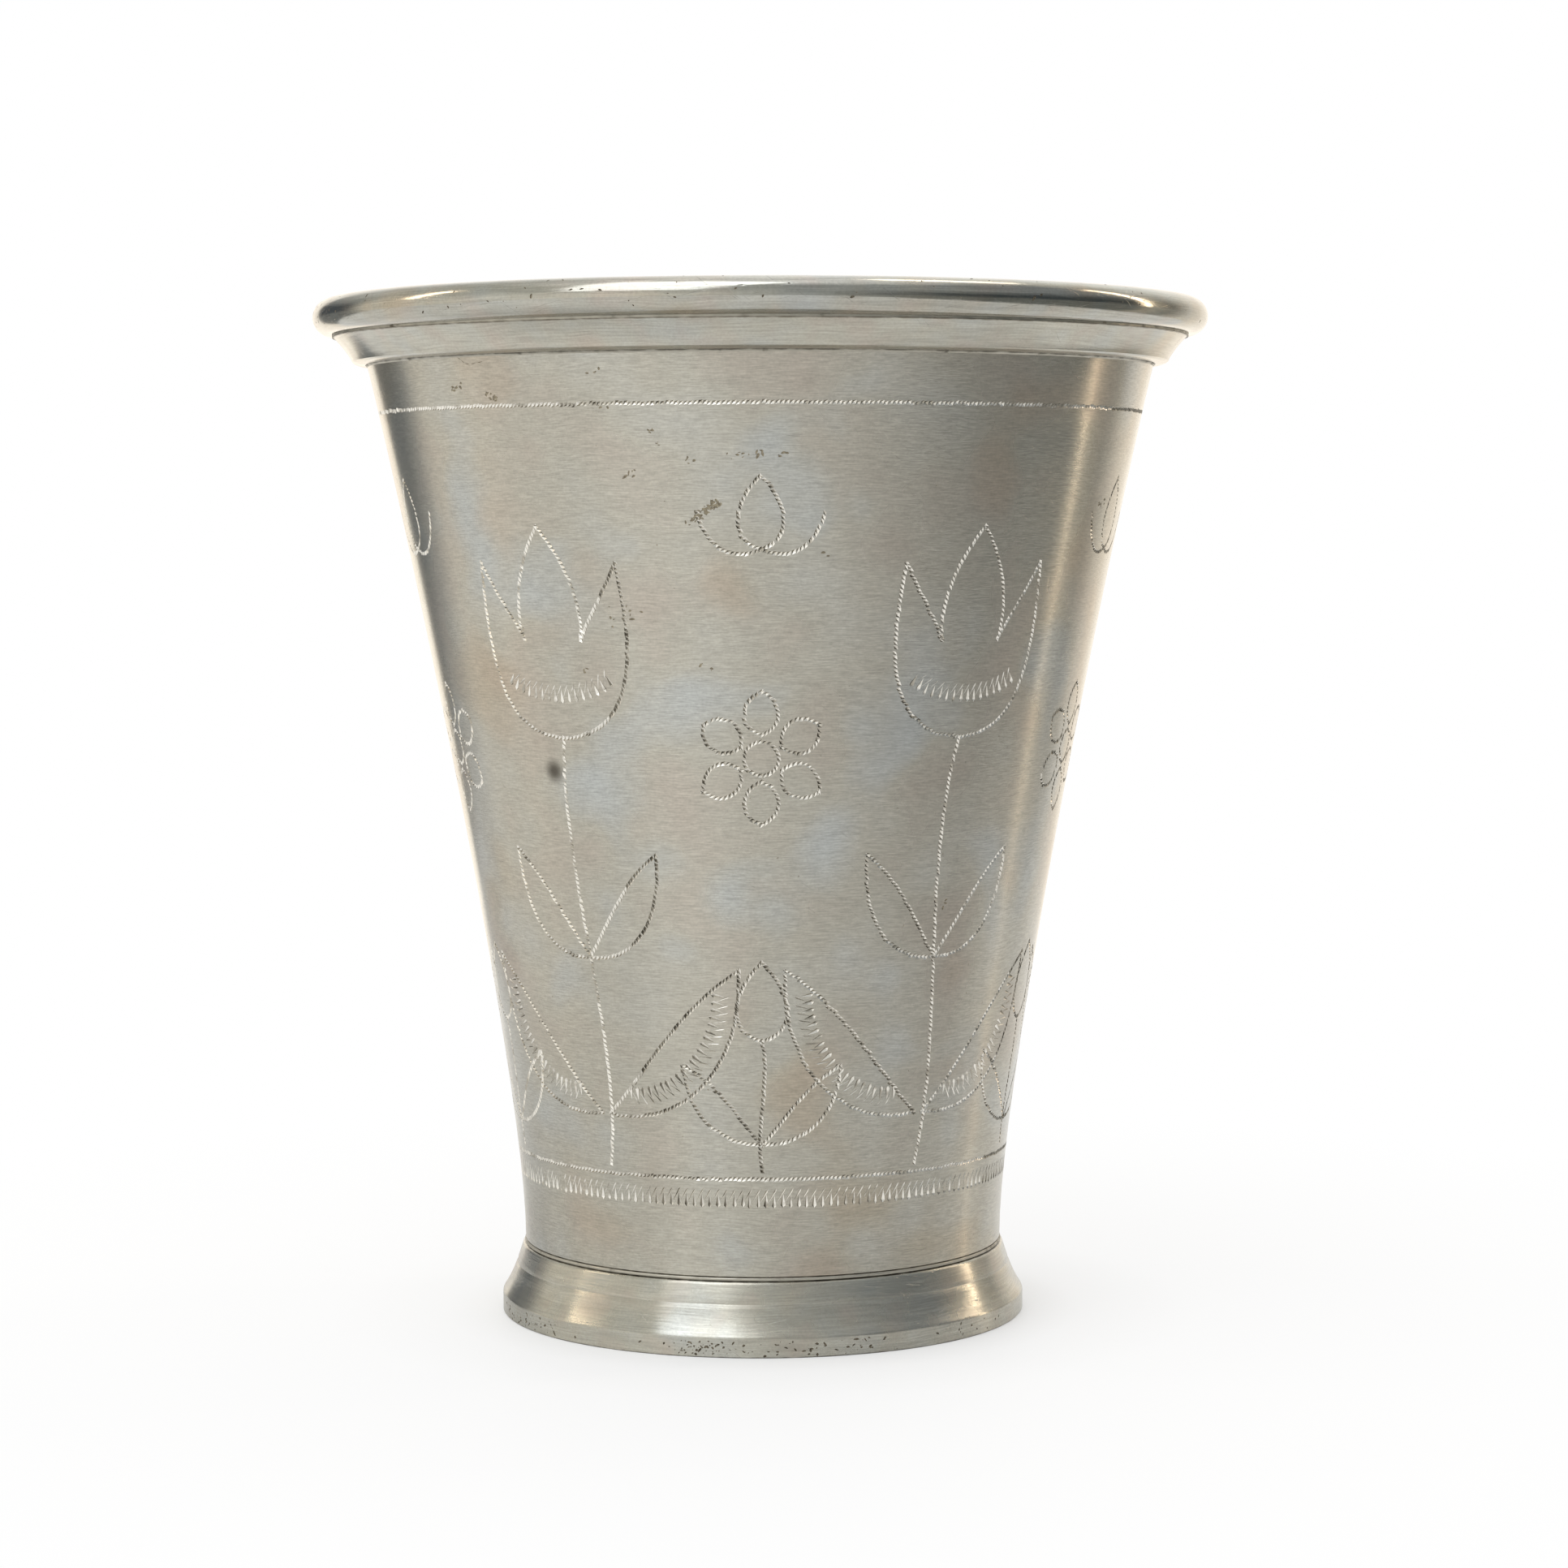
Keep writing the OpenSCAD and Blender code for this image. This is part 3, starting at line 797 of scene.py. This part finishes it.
# knocks and pits on the lip: turn in degrees, spread, count
lipPits = ((-72, 14, 26), (52, 5, 7), (34, 2, 3), (-30, 40, 26), (20, 50, 14), (180, 80, 40))
lipMiddle = (lipHigh.x - lipRadius) / mm
pits = []
for turn, spread, count in lipPits:
    for k in range(count):
        angle = math.radians(pitRandom.gauss(turn, spread / 2))
        lean = math.radians(pitRandom.uniform(*lipSet["pitLean"]))
        sine, cosine = math.sin(angle), math.cos(angle)
        out = np.array((math.cos(lean) * sine, -math.cos(lean) * cosine, math.sin(lean)))
        level = np.array((cosine, sine, 0))
        middle = np.array((lipMiddle * sine, -lipMiddle * cosine, (lipHigh.z - lipRadius) / mm))
        point = middle + out * (lipRadius / mm)
        size = pitRandom.uniform(*lipSet["pitSize"])
        pits.append(pitFrame(point, level, np.cross(out, level), out, size))
carve(lip, pitTool, pits, blackDirt)
finishPiece(lip, "lip_bead")

# Solder seams: node, name, colour of the grime, height and reach of its lines, steps of the turn

solderLook = {"grey": "#b6b2a6", "grimeRange": (0.22, 0.38), "lumpSize": 1.6, "lumpDepth": 0.02,
              "roughness": (0.6, 0.32)}
seamSet = {"dentSize": 2.5, "dentHeight": 0.015}
seams = (
    ("foot_solder", "footSeam", "#7d766a", ((8.22, 0.1), (8.64, 0.07)), 420),
    ("rim_solder", "rimSeam", "#4c473e", ((112.42, 0.2),), 420),
    ("lip_solder", "lipSeam", "#6f685b", ((115.66, 0.14),), 420),
    ("floor_solder", "floorSeam", "#6c665b", (), 240),
)
for node, name, grime, lines, steps in seams:
    solder = softSolder(name + "SoftSolder", dict(solderLook, grime=grime, grimeAt=lines))
    seam = halfSection(node, name)
    spinRound(seam, steps)
    unevenHand(seam, seamSet["dentSize"], seamSet["dentHeight"])
    seam.data.materials.append(solder)
    finishPiece(seam, node)

# Floor disc: turned on a faceplate, so it has shallow rings

floorLook = dict(insideLook, radius=20, lineRun=6, lineStep=0.3, anisotropic=0.3, grimeAt=(), faced=True)
floorSet = {"sides": 180, "rings": 11, "ringDeep": 0.05, "middle": 0.4}  # middle: in widths of a ring
discLow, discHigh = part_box("floor_disc")
discRadius = discHigh.x
bpy.ops.object.select_all(action="DESELECT")
bpy.ops.mesh.primitive_circle_add(
    vertices=floorSet["sides"], radius=discRadius, fill_type="NGON", location=(0, 0, discLow.z))
disc = bpy.context.active_object
disc.name = "floorDisc"
bpy.ops.object.transform_apply(location=True, rotation=True, scale=True)
bpy.ops.object.mode_set(mode="EDIT")
bpy.ops.mesh.select_all(action="SELECT")
bpy.ops.mesh.extrude_region_move(TRANSFORM_OT_translate={"value": (0, 0, discHigh.z - discLow.z)})
ringWide = discRadius / (floorSet["rings"] + floorSet["middle"])
for k in range(floorSet["rings"]):
    rise = floorSet["ringDeep"] * mm * (-1 if k % 2 == 0 else 1)
    bpy.ops.mesh.inset(thickness=ringWide, depth=rise)
bpy.ops.mesh.select_all(action="SELECT")
bpy.ops.mesh.normals_make_consistent(inside=False)
bpy.ops.object.mode_set(mode="OBJECT")
disc.data.materials.append(turnedPewter("turnedPewterFloor", floorLook))
finishPiece(disc, "floor_disc")

# Studio: a white tent, darker where the room shows between its panels, on a pale table

# farFloor is the share of farTone in the tent just below the horizon. The tent changes from its low to its
# high colours between the sines of elevation in lift, and to topTone between those in top.
# floorFade says how far the floor turns plain white for the camera: (distance from the axis, share);
# floorShine is the part of it that shows in the metal
studio = {
    "floorLeft": -800, "floorRight": 250, "floorFront": -1200, "floorBack": 310, "tentStrength": 1.4,
    "floorFade": ((28, 0.3), (38, 0.66), (52, 0.8), (160, 1.0)), "floorShine": 0.4, "farFloor": 0.3,
    "farTone": "#a8a8a2", "lift": (0.17, 0.5), "top": (0.8, 0.97), "topTone": "#ececec",
    "floorTone": "#f2f2f2", "shadeTone": "#808080", "aimHigh": 60,
}
# soft shades on the floor that only the metal sees: the azimuths where each fades in and out,
# then (distance from the axis, share)
floorShades = (
    ((-15, 40, 80, 95), ((60, 0.0), (120, 0.32), (190, 0.32), (290, 0.08))),
    ((-165, -140, -80, -30), ((50, 0.35), (100, 0.35), (150, 0.0))),
)
# colours of the tent by azimuth: 0 is behind the camera, 90 to the right
lowTent = (
    (-180, "#fff6ea"), (-156, "#f4ecdf"), (-153.5, "#585a5a"), (-149, "#484c50"), (-130, "#505458"),
    (-118, "#d6d0c4"), (-60, "#dedcd6"), (-35, "#e6e4de"), (-10, "#c6c6c2"), (15, "#a0a2a0"),
    (30, "#7e8080"), (45, "#565a5c"), (60, "#3e4448"), (90, "#444a4e"), (112, "#464a4a"),
    (115, "#aca494"), (122, "#9c968a"), (128, "#74726c"), (133, "#98948c"), (142, "#ccc6bc"),
    (152, "#e2d8ca"), (166, "#f0e8dc"), (180, "#fff6ea"),
)
highTent = (
    (-180, "#ffffff"), (-150, "#c0c0bc"), (-120, "#b8b8b2"), (-75, "#bcbcb6"), (-30, "#b8b9b6"),
    (0, "#a8aaa8"), (20, "#9ea0a0"), (45, "#9a9ea0"), (75, "#868a8e"), (105, "#82868a"),
    (130, "#cac8c2"), (155, "#f0f0ec"), (180, "#ffffff"),
)

scene = bpy.context.scene
world = bpy.data.worlds.new("whiteTent")
scene.world = world
world.use_nodes = True
tree = world.node_tree
tree.nodes.clear()
look = addNode(tree, "TexCoord").outputs["Generated"]
axes = addNode(tree, "SeparateXYZ", {0: look})
back = addNode(tree, "Math", {0: axes.outputs["Y"], 1: -1.0}, operation="MULTIPLY")
turn = addNode(tree, "Math", {0: axes.outputs["X"], 1: back.outputs[0]}, operation="ARCTAN2")
share = addNode(tree, "MapRange", {"Value": turn.outputs[0], 1: -math.pi, 2: math.pi, 3: 0.0, 4: 1.0})
bands = []
for tent in (lowTent, highTent):
    stops = [((degrees + 180) / 360, toLinear(colour)) for degrees, colour in tent]
    bands.append(setRamp(addNode(tree, "ValToRGB", {"Fac": share.outputs[0]}), stops))
lift = addNode(tree, "MapRange", {"Value": axes.outputs["Z"], 1: studio["lift"][0], 2: studio["lift"][1]})
ground = addNode(tree, "MapRange", {"Value": axes.outputs["Z"], 1: 0.0, 2: -0.04, 4: studio["farFloor"]})
low = addNode(tree, "Mix", {0: ground.outputs[0], 6: bands[0], 7: toLinear(studio["farTone"])},
              data_type="RGBA", blend_type="LIGHTEN")
walls = addNode(tree, "Mix", {0: lift.outputs[0], 6: low.outputs[2], 7: bands[1]}, data_type="RGBA")
height = addNode(tree, "MapRange", {"Value": axes.outputs["Z"], 1: studio["top"][0], 2: studio["top"][1]})
sky = addNode(tree, "Mix", {0: height.outputs[0], 6: walls.outputs[2], 7: toLinear(studio["topTone"])},
              data_type="RGBA")
sky = addNode(tree, "VectorMath", {0: sky.outputs[2], "Scale": studio["tentStrength"]}, operation="SCALE")
rays = addNode(tree, "LightPath")
air = addNode(tree, "Mix", {0: rays.outputs["Is Camera Ray"], 6: sky.outputs[0], 7: (1, 1, 1, 1)},
              data_type="RGBA")
glow = addNode(tree, "Background", {"Color": air.outputs[2], "Strength": 1.0})
addNode(tree, "OutputWorld", {"Surface": glow.outputs[0]})

bpy.ops.object.select_all(action="DESELECT")
floorWide = (studio["floorRight"] - studio["floorLeft"]) * mm
floorLong = (studio["floorBack"] - studio["floorFront"]) * mm
bpy.ops.mesh.primitive_plane_add(
    size=1, location=(studio["floorRight"] * mm - floorWide / 2, studio["floorBack"] * mm - floorLong / 2, 0))
floor = bpy.context.active_object
floor.name = "paleFloor"
floor.scale = (floorWide, floorLong, 1)
bpy.ops.object.transform_apply(location=True, rotation=True, scale=True)
paper = newMaterial("paleFloorPaper")
tree = paper.node_tree
where = addNode(tree, "TexCoord").outputs["Object"]
reach = addNode(tree, "VectorMath", {0: where}, operation="LENGTH")
farthest = studio["floorFade"][-1][0]
share = addNode(tree, "MapRange", {"Value": reach.outputs["Value"], 2: farthest * mm})
fade = setRamp(addNode(tree, "ValToRGB", {"Fac": share.outputs[0]}), [
    (distance / farthest, (part, part, part, 1)) for distance, part in studio["floorFade"]])
axes = addNode(tree, "SeparateXYZ", {0: where})
away = addNode(tree, "Math", {0: axes.outputs["Y"], 1: -1.0}, operation="MULTIPLY")
turn = addNode(tree, "Math", {0: axes.outputs["X"], 1: away.outputs[0]}, operation="ARCTAN2").outputs[0]
shade = 0.0
for azimuths, stops in floorShades:
    riseFrom, riseTo, fallFrom, fallTo = [math.radians(v) for v in azimuths]
    rise = addNode(tree, "MapRange", {"Value": turn, 1: riseFrom, 2: riseTo})
    fall = addNode(tree, "MapRange", {"Value": turn, 1: fallFrom, 2: fallTo, 3: 1.0, 4: 0.0})
    sector = addNode(tree, "Math", {0: rise.outputs[0], 1: fall.outputs[0]}, operation="MULTIPLY")
    farthest = stops[-1][0]
    share = addNode(tree, "MapRange", {"Value": reach.outputs["Value"], 2: farthest * mm})
    ring = setRamp(addNode(tree, "ValToRGB", {"Fac": share.outputs[0]}), [
        (distance / farthest, (part, part, part, 1)) for distance, part in stops])
    patch = addNode(tree, "Math", {0: sector.outputs[0], 1: ring}, operation="MULTIPLY")
    shade = addNode(tree, "Math", {0: patch.outputs[0], 1: shade}, operation="MAXIMUM").outputs[0]
rays = addNode(tree, "LightPath")
shade = addNode(tree, "Math", {0: shade, 1: rays.outputs["Is Glossy Ray"]}, operation="MULTIPLY").outputs[0]
shine = addNode(tree, "MapRange", {"Value": shade, 3: studio["floorShine"], 4: 0.0})
shine = addNode(tree, "Math", {0: rays.outputs["Is Glossy Ray"], 1: shine.outputs[0]}, operation="MULTIPLY")
seen = addNode(tree, "Math", {0: rays.outputs["Is Camera Ray"], 1: shine.outputs[0]}, operation="MAXIMUM")
seen = addNode(tree, "Math", {0: seen.outputs[0], 1: fade}, operation="MULTIPLY")
pale = addNode(tree, "Mix", {0: shade, 6: toLinear(studio["floorTone"]), 7: toLinear(studio["shadeTone"])},
               data_type="RGBA")
matt = addNode(tree, "BsdfPrincipled", {"Base Color": pale.outputs[2], "Roughness": 0.6})
white = addNode(tree, "Emission", {"Color": (1, 1, 1, 1), "Strength": 1.0})
mixed = addNode(tree, "MixShader", {0: seen.outputs[0], 1: matt.outputs[0], 2: white.outputs[0]})
addNode(tree, "OutputMaterial", {"Surface": mixed.outputs[0]})
floor.data.materials.append(paper)


def aim(azimuth, elevation, distance, target):
    # place on a sphere round the target: azimuth 0 is the camera's side, to the right is positive
    az = math.radians(azimuth)
    el = math.radians(elevation)
    away = np.array([math.sin(az) * math.cos(el), -math.cos(az) * math.cos(el), math.sin(el)])
    spot = np.array(target) + away * distance
    turnTo = (math.pi / 2 - el, 0, az)
    return spot, turnTo


# name, azimuth, elevation, then distance, width and height in metres, power in watts, colour
lamps = (
    ("keySoftbox", -34, 54, 0.9, 0.52, 0.8, 2.55, "#f4f8ff"),
    ("backLamp", 124, 66, 0.8, 0.12, 0.26, 0.3, "#fff6ea"),
    ("rightStrip", 111.5, 22, 0.8, 0.03, 0.6, 0.6, "#ffe8cc"),
    ("leftStrip", -99, 32, 0.8, 0.05, 0.3, 0.32, "#ffe8cc"),
)
for name, azimuth, elevation, distance, wide, tall, power, colour in lamps:
    spot, turnTo = aim(azimuth, elevation, distance, (0, 0, studio["aimHigh"] * mm))
    bpy.ops.object.light_add(type="AREA", location=spot, rotation=turnTo)
    lamp = bpy.context.active_object
    lamp.name = name
    lamp.data.shape = "RECTANGLE"
    lamp.data.size = wide
    lamp.data.size_y = tall
    lamp.data.energy = power
    lamp.data.color = toLinear(colour)[:3]
    lamp.visible_camera = False

# Camera
cameraSet = {"lens": 89.40, "place": (0, -464.4, 93.61), "tilt": 86.201, "roll": 0.126, "turn": -0.338}
bpy.ops.object.camera_add(
    location=[v * mm for v in cameraSet["place"]],
    rotation=[math.radians(cameraSet[k]) for k in ("tilt", "roll", "turn")])
camera = bpy.context.active_object
camera.data.lens = cameraSet["lens"]
camera.data.sensor_width = 36
camera.data.clip_start = 0.01
scene.camera = camera
scene.view_settings.view_transform = "Standard"

for tip in ("ropeChisel", "combChisel", "combChiselTurned", "pitTool"):
    bpy.data.objects.remove(bpy.data.objects[tip])
